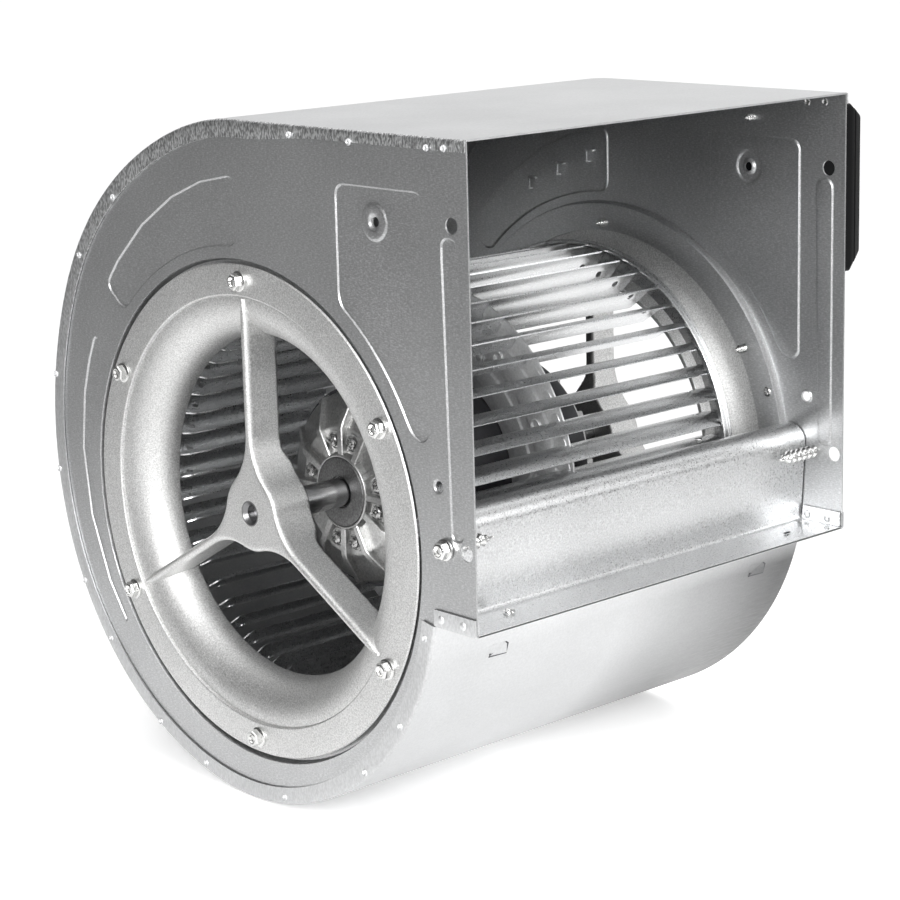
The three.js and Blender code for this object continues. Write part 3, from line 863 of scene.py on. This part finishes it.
def spider_arm(angle):
    """An arm from the hub to the bell mouth, with a rounded front edge."""
    rings = []
    inner = [0, 6, 12] + [16 + 1.5 * k for k in range(22)]
    for radius in inner + [54, 64, 78, 90] + [96 + 4 * k for k in range(7)] + [123.4]:
        half = arm_half_width(radius) * (1 - 0.45 * smooth(112, 123, radius))
        base = HUB_DEPTH - 4 * smooth(26, 36, radius)
        if radius > THROAT - 4:
            base = min(base, bell_depth_at(radius) + 2.2)
        front = RING_FACE + 0.1
        nose = [(front + 2.8, 0), (front + 1.4, 0.4), (front + 0.4, 1.4), (front, 2.6)]
        nose = [(d, max(half - inset, half * 0.1)) for d, inset in nose]
        section = [(d, -w) for d, w in nose] + nose[::-1] + [(base, half + 0.5), (base, -half - 0.5)]
        rings.append([(at(d), -w, radius) for d, w in section])
    return loft(rings).turned(angle - 90)


def smoothed(shape, voxel, passes):
    """One skin over overlapping shapes, with the soft edges of a casting."""
    obj = linked("casting", mesh_of("casting", shape.points, shape.faces, 1))
    remesh = obj.modifiers.new("skin", "REMESH")
    remesh.mode = "VOXEL"
    remesh.voxel_size = voxel
    soften = obj.modifiers.new("soften", "SMOOTH")
    soften.factor = 0.5
    soften.iterations = passes
    graph = bpy.context.evaluated_depsgraph_get()
    made = obj.evaluated_get(graph).to_mesh()
    result = Shape([v.co[:] for v in made.vertices], [tuple(p.vertices) for p in made.polygons])
    obj.evaluated_get(graph).to_mesh_clear()
    bpy.data.objects.remove(obj)
    return result


def cut_by(obj, shape):
    """Takes a shape out of a piece, for good."""
    cutter = linked("cutter", mesh_of("cutter", shape.points, shape.faces))
    boolean = obj.modifiers.new("cut", "BOOLEAN")
    boolean.operation = "DIFFERENCE"
    boolean.object = cutter
    graph = bpy.context.evaluated_depsgraph_get()
    result = bpy.data.meshes.new_from_object(obj.evaluated_get(graph))
    obj.modifiers.clear()
    obj.data = result
    bpy.data.objects.remove(cutter)


def build_inlet_rings():
    spider = Shape()
    for angle in ARM_ANGLES:
        spider.add(spider_arm(angle))
    pad = lathe([(at(d), r) for d, r in (
        (HUB_DEPTH, 0), (HUB_DEPTH, 23.1), (RING_FACE + 2.8, 22.6), (RING_FACE + 1.4, 22.2),
        (RING_FACE + 0.5, 21.2), (RING_FACE + 0.1, 20.0), (RING_FACE + 0.1, 0),
    )])
    spider = smoothed(spider.add(pad), 0.9, 3)
    front = at(RING_FACE + 0.1)
    spider.points = [(max(x, front), y, z) for x, y, z in spider.points]
    bore = lathe([(at(d), r) for d, r in (
        (-2, 0), (-2, 7.2), (7, 7.2), (7, SHAFT + 0.1), (30, SHAFT + 0.1), (30, 0),
    )], 48)
    bush = lathe([(at(d), r) for d, r in (
        (RING_FACE + 0.05, 7.4), (RING_FACE + 0.05, 6.7), (RING_FACE + 2.2, 4.6), (6.2, 4.5), (6.2, 7.4),
    )], 48)
    for side in SIDES:
        piece(f"inlet_bell_{side}", lathe(ring_profile(), 160).on(side), "cast",
              replaces=[f"inlet_ring_{side}"], sharp=50)
        arms = piece(f"inlet_spider_{side}", spider.on(side), "cast", sharp=60)
        cut_by(arms, bore.on(side))
        # the bush's dark tone is painted shade inside the bore
        piece(f"hub_bush_{side}", bush.on(side), "shadow_steel", sharp=30)


def hex_screw(washer, head, shank, length, pitch):
    """A hexagon screw with a washer face, pointing along +X, with its seat at x = 0."""
    shape = loft([
        *round_rings((0.35, washer - 0.3), (0, washer), (-0.9, washer), (-1.4, washer - 0.7)),
        hexagon_ring(-1.5, head), hexagon_ring(-4.6, head), hexagon_ring(-5.4, head * 0.88),
        *round_rings((-5.65, head * 0.62), (-5.5, head * 0.55)), star_ring(-4.3, head * 0.48, 6, 0.8),
    ])
    return shape.add(thread(shank + 0.25, shank * 0.74, 0.2, length, pitch, tip=length * 0.3))


def build_inlet_screws():
    shape = hex_screw(5.9, 4.9, 2.4, 14.8, 1.6)
    for side in SIDES:
        for i in range(6):
            angle = 90 + 60 * i
            screw = shape.turned(17 + 23 * i).moved(at(RING_FACE) - GAP, *polar(angle, SCREW_CIRCLE))
            node = f"inlet_screw_{side}_{i + 1}"
            piece(f"{node}_threaded", screw.on(side), "zinc", replaces=[node], sharp=32)


def build_cutoff_bolts():
    shape = hex_screw(5.9, 4.9, 3.9, 33.8, 4.6)
    spring = lathe([(-0.2, 4.4), (-0.2, 5.8), (-1.2, 5.8), (-1.2, 4.4)], 24)
    for side in SIDES:
        bolt = shape.moved(-0.3, 0, 0).add(spring).moved(-PLATE - GAP, BOLT_Y, BOLT_Z)
        node = f"cutoff_bolt_{side}"
        piece(f"{node}_threaded", bolt.on(side), "zinc", replaces=[node], sharp=32)


# ---------------------------------------------------------------- cut-off plate

def cutoff_line():
    """Section of the cut-off plate: the roll over the wheel, the web, then the lip."""
    roll_y, roll_z, roll = -148.5, 14, 11
    line = []
    for k in range(21):
        turn = math.radians(200 - 10 * k)
        line.append((roll_y - roll * math.cos(turn), roll_z + roll * math.sin(turn)))
    fold_y, lip_z = -156.5, LIP + SHEET + GAP
    return line + rounded([line[-1], (fold_y, lip_z), (FRONT, lip_z)], 2.5, closed=False)[1:]


def build_cutoff_plate():
    line = cutoff_line()
    inner = PLATE - SHEET - GAP
    web_end = inner - 0.5
    shape = Shape()
    split = next(i for i, (y, z) in enumerate(line) if z < 4 and i > 15)
    upper, lower = line[:split + 1], line[split:]
    for part, reach in ((upper, web_end), (lower, inner)):
        outline = part + offset_line(part, -SHEET)[::-1]
        shape.add(loft([[(x, y, z) for y, z in outline] for x in (-reach, reach)]))
    piece("cutoff_sheet", shape, "web", replaces=["cutoff_plate"], sharp=45)
    lip_top = LIP + 2 * SHEET + GAP
    for side in SIDES:
        tab = [
            (FRONT + 0.5, lip_top - SHEET), (-158, lip_top - SHEET), (-158.5, lip_top + 8),
            (FRONT + 0.5, lip_top + 8),
        ]
        ears = prism(rounded(tab, 1.2), -inner, -inner + SHEET, 0.2)
        for y in (-162, -177.4):
            ears.add(button(2.4, 1.0).turned(180, "Z").moved(-inner + SHEET, y, -29.6))
        piece(f"cutoff_tab_{side}", ears.on(side), "web", sharp=30)
    # A black patch on the lip: painted shade for the slot in it.
    slot_shade_patch = prism(rounded([(-2.6, -1.0), (2.6, -1.0), (2.6, 1.0), (-2.6, 1.0)], 0.9), 0, 0.3)
    piece("lip_slot_shade", slot_shade_patch.turned(90, "Y").turned(90, "Z").moved(113.7, -174, lip_top + 0.05), "black")
    rim = lathe([(0.2, 1.9), (0.2, 3.4), (-0.5, 3.2), (-0.9, 2.5), (-0.5, 1.9)], 28).turned(90, "Y")
    piece("lip_hole_rim", rim.moved(-108.6, -169, lip_top + 0.2), "zinc")


# ---------------------------------------------------------------- wheel

def blade_point(x, t, shift):
    """A point of one blade: t runs from its inner edge to its outer edge."""
    entry = math.radians(BLADE_ENTRY)
    lean = entry + (math.radians(BLADE_EXIT) - entry) * t
    up = BLADE_INNER + BLADE_CURVE * (math.sin(lean) - math.sin(entry)) + shift * math.sin(lean)
    forward = BLADE_CURVE * (math.cos(entry) - math.cos(lean)) - shift * math.cos(lean)
    return x, -forward, up


def blade_shape():
    """One blade from end ring to end ring: cut-away inner corners, a hole near each end, a centre notch."""
    width, far = BLADE_WIDTH, -WHEEL_END - 1.6
    half = [
        (0.95, width * 0.56), (0.95, 0), (far - 10, 0), (far - 3, width * 0.2), (far, width * 0.42),
        (far, width),
    ]
    outline = rounded(half + [(-x, t) for x, t in half[::-1]], 3.0, steps=3)
    holes = [circle(side * (far - 14.5), width * 0.40, 2.3, 12) for side in (-1, 1)]
    rows = [[(far * (j / 4 - 1), width * k / 6) for j in range(9)] for k in range(7)]

    def keep(centre):
        return inside(centre, outline) and not any(inside(centre, hole) for hole in holes)

    flat, faces = triangulated([outline] + holes, rows, keep)
    count = len(flat)
    shape = Shape()
    for shift in (0, BLADE_SHEET):
        shape.points += [blade_point(p.x, p.y / width, shift) for p in flat]
    shape.faces += faces + [tuple(count + i for i in f[::-1]) for f in faces]
    sides = {(a, b) for f in faces for a, b in zip(f, f[1:] + f[:1])}
    shape.faces += [(a, a + count, b + count, b) for a, b in sides if (b, a) not in sides]
    return shape


def build_blades():
    blade = blade_shape()
    blades = Shape()
    for i in range(BLADES):
        blades.add(blade.turned(360 * i / BLADES))
    end = WHEEL_END + 1.5
    band = lathe([(end, 119.9), (end, 121.4), (end + 4, 121.4), (end + 4, 119.9)], 144)
    for side in SIDES:
        blades.add(band.on(side))
    piece("blade_strip_bent", blades, "blade", body="wheel", replaces=["blade_strip"], sharp=40)


def build_end_rings():
    bore = WHEEL_OUTER - 111
    profile = rounded([(WHEEL_END + x, WHEEL_OUTER - drop) for x, drop in (
        (7, 0.5), (6.4, 0), (5.4, 0), (4.9, 1.5), (2.3, 1.5), (1.8, 0), (0.8, 0), (0, 0.9), (0, 4),
        (0.5, 5.5), (0.5, bore - 2), (0, bore - 1), (0, bore), (1.2, bore), (1.2, 2.6), (7, 2.2),
    )], 0.5, steps=3)
    for side in SIDES:
        piece(f"wheel_rim_{side}", lathe(profile, 144).on(side), "blade", body="wheel",
              replaces=[f"wheel_ring_{side}"], sharp=35)


def build_centre_plate():
    """Centre disc with a pressed step, rivets and the blade tabs that are folded against it."""
    half, press = 0.7, 0.9
    steps = (
        (60.4, 0), (66, 0), (67, press), (77.6, press), (79, 0), (84, 0), (85.4, press), (99, press),
        (100.5, 0), (112.8, 0),
    )
    disc = [(-half - deep, r) for r, deep in steps] + [(half - deep, r) for r, deep in steps[::-1]]
    shape = lathe(rounded(disc, 0.5, steps=2), 144)
    for i in range(12):
        shape.add(button(3.6, 2.0).moved(-0.8, *polar(4 + 30 * i, RIVET_CIRCLE)))
        shape.add(dished(4.2, 1.1).moved(-half - press, *polar(25 + 30 * i, 91)))
    piece("centre_plate", shape, "disc", body="wheel", replaces=["centre_disc"], sharp=30)
    outline = rounded([(-2.6, 103.2), (3.4, 104.2), (4.6, 107), (3.4, 110), (-2.6, 110.6)], 1.6)
    tab = prism(outline, -1.3, -0.6, 0.25)
    tabs = Shape()
    for i in range(BLADES):
        tabs.add(tab.turned(360 * (i - 0.18) / BLADES))
    piece("blade_tabs", tabs, "disc", body="wheel", sharp=35)


# ---------------------------------------------------------------- motor

CAP_SCREW_CIRCLE = 30.5
CAP_SCREW_ANGLES = [90 * quarter + turn for quarter in range(4) for turn in (-15, 15)]


def fin(profile, half, edge):
    """A rib on the axis plane: (x, radius) points made thick across it, with chamfered long edges."""
    rings = []
    for across, inset in ((-half, edge), (-half + edge, 0), (half - edge, 0), (half, edge)):
        line = offset_line(profile, inset, closed=True)
        rings.append([(x, across, radius) for x, radius in line])
    return loft(rings)


def cap_shape():
    """End cap of the rotor: a nose round the shaft, pockets with screws between bent ribs."""
    body = lathe(rounded([(NOSE + x, r) for x, r in (
        (1.5, SHAFT + 0.9), (1.5, 20.6), (0.4, 20.9), (0.4, 22.0), (1.2, 22.6), (5, 23.2), (5, 38.5),
        (7.2, 42), (14, 56.5), (18.3, 58), (18.3, 53), (8, 36), (8, SHAFT + 0.9),
    )], 0.9, steps=2), 96)
    rib = fin([(NOSE + x, r) for x, r in (
        (6.5, 21), (0.9, 21), (0.9, 38.5), (2.6, 42.4), (11.6, 57.4), (17.5, 58.6), (17.5, 55), (7, 40),
    )], 2.2, 0.55)
    collar = lathe([(NOSE + x, r) for x, r in (
        (5.5, 2.5), (5.5, 6.0), (4.1, 5.7), (4.1, 4.9), (4.9, 4.7), (4.9, 2.5),
    )], 24)
    for i in range(12):
        body.add(rib.turned(30 * i))
    for angle in CAP_SCREW_ANGLES:
        body.add(collar.moved(0, *polar(angle, CAP_SCREW_CIRCLE)))
    return body


def pan_screw():
    shape = loft([
        *round_rings((0.3, 3.4), (-0.7, 3.9), (-1.6, 3.7), (-2.2, 2.9)),
        star_ring(-2.4, 2.2, 4, 0.45), star_ring(-1.0, 1.9, 4, 0.4),
    ])
    return shape.add(lathe([(0, 0), (0, 1.7), (7.5, 1.7), (8, 0)], 16))


def build_motor():
    cap = cap_shape()
    nose = lathe(rounded([(NOSE + x, r) for x, r in (
        (0.4, SHAFT + 0.9), (0, SHAFT + 1.4), (0, 20.0), (0.5, 20.6), (1.7, 20.6), (1.7, SHAFT + 0.9),
    )], 0.3, steps=2), 72)
    screw = pan_screw()
    for side in SIDES:
        piece(f"motor_cap_{side}", cap.on(side), "cap", body="wheel",
              replaces=[f"rotor_cap_{side}"], sharp=30)
        piece(f"motor_nose_{side}", nose.on(side), "nose", body="wheel", sharp=30)
        for i, angle in enumerate(CAP_SCREW_ANGLES):
            node = f"cap_screw_{side}_{i + 1}"
            placed = screw.turned(31 * i).moved(NOSE + 4 - GAP, *polar(angle, CAP_SCREW_CIRCLE))
            piece(f"{node}_head", placed.on(side), "screw", body="wheel", replaces=[node], sharp=28)
    half = box_mm("rotor_shell")[1].x
    end = [(-half, 56.3), (-half, 60), (-half + 12, 60), (-half + 12, 59), (-half + 16, 59), (-half + 16, 60)]
    drum = lathe(rounded(end + [(-x, r) for x, r in end[::-1]], 0.7, steps=2), 120)
    piece("rotor_drum", drum, "black_steel", body="wheel", replaces=["rotor_shell"], sharp=30)
    low, high = box_mm("rotor_flange")
    flange = lathe(rounded([
        (low.x, 60.3), (low.x, high.z), (high.x, high.z), (high.x, 64), (high.x + 4, 60.3),
    ], 0.8, steps=2), 120)
    for i in range(12):
        flange.add(button(3.6, 2.2).turned(180, "Z").moved(high.x, *polar(4 + 30 * i, RIVET_CIRCLE)))
    piece("rotor_flange_pressed", flange, "black_steel", body="wheel",
          replaces=["rotor_flange"], sharp=30)
    reach = box_mm("motor_shaft")[1].x
    end = [(-reach, 0), (-reach, SHAFT - 0.8), (-reach + 0.8, SHAFT)]
    shaft = lathe(end + [(-x, r) for x, r in end[::-1]], 64)
    piece("shaft_ground", shaft, "steel", replaces=["motor_shaft"], sharp=30)
    low, high = box_mm("bearing_outer_race_right")
    balls = Shape()
    for side in (-1, 1):
        for i in range(9):
            balls.add(ball(3.6, side * (low.x + high.x) / 2, *polar(40 * i, 14.25)))
    piece("bearing_balls", balls, "zinc")


def ball(radius, x, y, z):
    turns = [math.radians(20 * k) for k in range(1, 9)]
    arc = [(-radius * math.cos(turn), radius * math.sin(turn)) for turn in turns]
    return lathe([(-radius, 0)] + arc + [(radius, 0)], 18).moved(x, y, z)


# ---------------------------------------------------------------- terminal box

def square_loft(centre, levels):
    """A skin over rounded squares, each at (x, half its side, corner)."""
    rings = []
    for x, half, corner in levels:
        outline = rounded([(-half, -half), (half, -half), (half, half), (-half, half)], corner, steps=5)
        rings.append([(x, centre[0] + y, centre[1] + z) for y, z in outline])
    return loft(rings)


def build_terminal_box():
    low, high = box_mm("terminal_box_base")
    centre = ((low.y + high.y) / 2, (low.z + high.z) / 2)
    half, inner, outer = (high.y - low.y) / 2, low.x, high.x
    base = square_loft(centre, (
        (inner, half - 0.6, 2.5), (inner + 0.6, half, 3), (outer - 8, half, 3),
        (outer - 1.2, half - 3.0, 3), (outer - 0.9, half - 4.2, 3), (outer, half - 4.2, 3),
    ))
    piece("box_base_moulding", base, "black", replaces=["terminal_box_base"], sharp=35)
    inner, outer = (corner.x for corner in box_mm("terminal_box_lid"))
    lid = square_loft(centre, (
        (inner, half - 4.0, 3), (inner + 0.3, half - 3.6, 3), (outer - 0.5, half - 7.8, 3),
        (outer - 0.1, half - 8.2, 3), (outer, half - 9, 3),
    ))
    piece("box_lid_moulding", lid, "black", replaces=["terminal_box_lid"], sharp=25)
    low, high = box_mm("box_fixing_screw")
    screw = pan_screw().add(thread(2.1, 1.5, 0.2, high.x - 2.4 - low.x - 0.5, 1.5, tip=4))
    middle = ((low.y + high.y) / 2, (low.z + high.z) / 2)
    piece("box_fixing_screw_threaded", screw.turned(180, "Z").moved(high.x - 2.4, *middle), "zinc",
          replaces=["box_fixing_screw"], sharp=32)
    for i, end in enumerate((-30, 30)):
        head = pan_screw().turned(180, "Z").moved(outer + 0.1, centre[0] + end, centre[1] + end)
        piece(f"box_screw_head_{i + 1}", head, "zinc", replaces=[f"box_lid_screw_{i + 1}"], sharp=28)
    low, high = box_mm("cable_gland")
    gland = loft([
        *round_rings((0, 5.0), (0, 7.0), (3, 7.6), (8, 8.4)),
        *(hexagon_ring(x, r) for x, r in ((8.2, 9.9), (13.8, 9.9), (14, 10.9), (17.6, 10.9))),
        *round_rings((17.8, 7.5), (24.6, 7.5), (24.6, 5.0)),
    ]).turned(-90, "Y").moved((low.x + high.x) / 2, centre[0], low.z)
    piece("gland_moulding", gland, "black", replaces=["cable_gland"], sharp=35)


# ---------------------------------------------------------------- pieces that stay as the CAD has them

def finish_cad_nodes():
    looks = {"stator_core": "laminations", "rotor_core": "laminations", "terminal_block": "pale"}
    for side in SIDES:
        looks[f"stator_winding_{side}"] = "copper"
        looks[f"bearing_inner_race_{side}"] = "steel"
        looks[f"bearing_outer_race_{side}"] = "steel"
    for node, look in looks.items():
        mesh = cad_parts[node].data
        mesh.materials.clear()
        mesh.materials.append(MATERIALS[look])


# ---------------------------------------------------------------- studio

CAMERA_PLACE = (-0.998, -1.1015, 0.3565)
CAMERA_TURN = (76.90, 1.447, -42.68)
CAMERA_LENS = 100.98


def build_camera():
    data = bpy.data.cameras.new("camera")
    data.lens = CAMERA_LENS
    data.sensor_width = 36
    camera = linked("camera", data)
    camera.location = CAMERA_PLACE
    camera.rotation_euler = [math.radians(a) for a in CAMERA_TURN]
    bpy.context.scene.camera = camera


def build_floor():
    """A white floor that falls to grey outside the lit strip that runs back from the blower.

    It glows under the blower like a light table, and a little far away, so that it stays white.
    """
    floor_z = cad_bounds[0].z - 0.0005
    reach = 14.0
    outline = ((-reach, -reach), (reach, -reach), (reach, reach), (-reach, reach))
    mesh = mesh_of("floor", [(x, y, floor_z) for x, y in outline], [(0, 1, 2, 3)], 1)
    mat, graph, shader = new_material("studio_floor")
    place = graph.coords["Object"]
    tone = None
    for direction, level, start in (
        ((-0.846, 0.533, 0), 0.30, 0.40), ((0.610, -0.792, 0), 0.34, 0.76),
        ((-0.673, -0.739, 0), 0.26, 0.40),
    ):
        across = graph.measure("DOT_PRODUCT", place, direction)
        shade = graph.ramp(across, grey(0.99), grey(level), start, 1)
        tone = graph.mix(tone, shade) if tone else shade
    away = graph.measure("DISTANCE", place, (0.10, -0.07, floor_z))
    under, far = graph.range(away, 0.42, 0, 0.10, 0.45), graph.range(away, 0, 0.12, 1.5, 6.0)
    graph.feed(shader, {
        "Base Color": tone, "Roughness": 0.9, "Specular IOR Level": 0.1,
        "Emission Color": tone, "Emission Strength": graph.math("ADD", under, far),
    })
    mesh.materials.append(mat)
    linked("floor", mesh)


def build_world():
    """Light all round, strong from behind and weak from the unlit corner left of the blower."""
    world = bpy.data.worlds.new("studio")
    world.use_nodes = True
    graph = Graph(world.node_tree)
    unlit = graph.measure("DOT_PRODUCT", graph.coords["Generated"], (-0.74, 0.67, 0))
    behind = graph.measure("DOT_PRODUCT", graph.coords["Generated"], (0.66, 0.72, 0.2))
    graph.feed(graph.nodes["Background"], {
        "Color": graph.ramp(unlit, grey(1), grey(0.22), 0.1, 0.8),
        "Strength": graph.range(behind, WORLD_STRENGTH, WORLD_BACK, 0.1, 0.8),
    })
    bpy.context.scene.world = world


def light(name, kind, place, energy, **settings):
    """A light at a place, pointing at the blower."""
    data = bpy.data.lights.new(name, kind)
    data.energy = energy
    for setting, value in settings.items():
        setattr(data, setting, value)
    lamp = linked(name, data)
    direction = -Vector(place)
    lamp.location = place
    lamp.rotation_euler = direction.to_track_quat("-Z", "Y").to_euler()


WORLD_STRENGTH, WORLD_BACK, OVERHEAD_STRENGTH = 0.42, 0.85, 1.65
SOFTBOXES = (
    ("key_softbox", (-1.85, -1.2, 0.98), 1.2, 42), ("fill_softbox", (-1.35, -1.65, 0.62), 0.8, 14),
    ("front_softbox", (0.9, -2.2, 0.8), 1.2, 16),
)


def build_studio():
    build_camera()
    build_floor()
    build_world()
    for name, place, width, power in SOFTBOXES:
        light(name, "AREA", place, power, shape="RECTANGLE", size=width, size_y=width)
    light("overhead_light", "SUN", (0.3, -0.4, 3.0), OVERHEAD_STRENGTH, angle=math.radians(70))
    bpy.context.scene.view_settings.view_transform = "Standard"


build_studio()
build_wrap()
for each_side in SIDES:
    build_side_plate(each_side)
build_plate_tabs()
build_plate_rivets()
build_inlet_rings()
build_inlet_screws()
build_cutoff_plate()
build_cutoff_bolts()
build_blades()
build_end_rings()
build_centre_plate()
build_motor()
build_terminal_box()
finish_cad_nodes()
